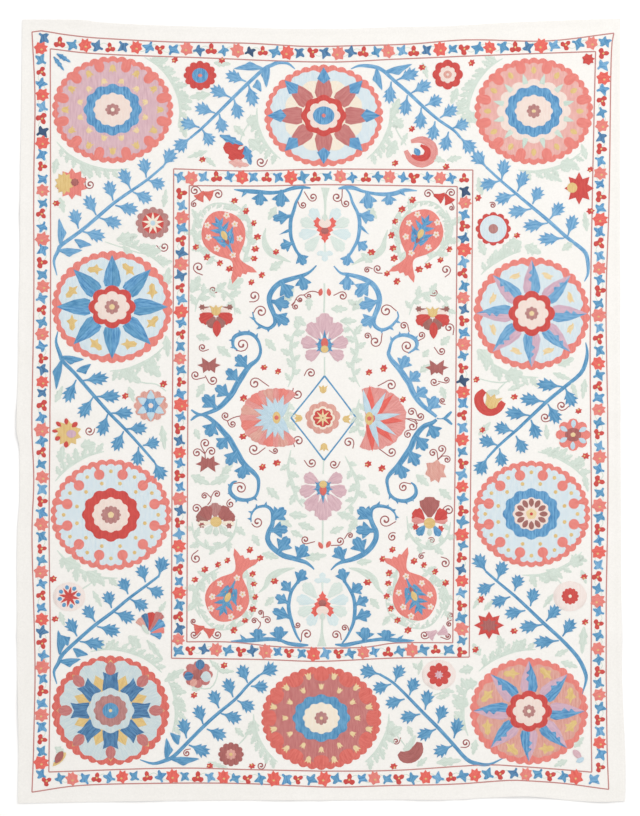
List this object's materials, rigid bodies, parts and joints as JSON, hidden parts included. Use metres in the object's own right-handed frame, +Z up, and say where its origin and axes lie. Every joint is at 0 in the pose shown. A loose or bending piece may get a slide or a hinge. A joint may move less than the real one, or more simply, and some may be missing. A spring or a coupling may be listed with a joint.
{
  "type": "suzani embroidered coverlet",
  "caption": "Rectangular hemmed cotton cloth, chain-stitched all over in silk with medallions, blue leafy vines and a sprig border, lying flat with soft storage folds.",
  "frame": {"origin": "under the middle of the cloth's bounding box, on the surface that it lies on", "axes": "+Y towards the head of the cloth, along its length; +X across it; +Z up, out of the embroidered face"},
  "size_m": [2.0278, 2.614, 0.0091],
  "materials": {
    "cotton": "plain-woven off-white cotton, matt, with a turned hem",
    "silk_embroidery": "silk floss in chain stitch, softly glossy, in coral, red, burgundy, blues, lilac, sage and pale yellow"
  },
  "bodies": {
    "root": {"suzani_cloth": "cotton"}
  },
  "joints": []
}
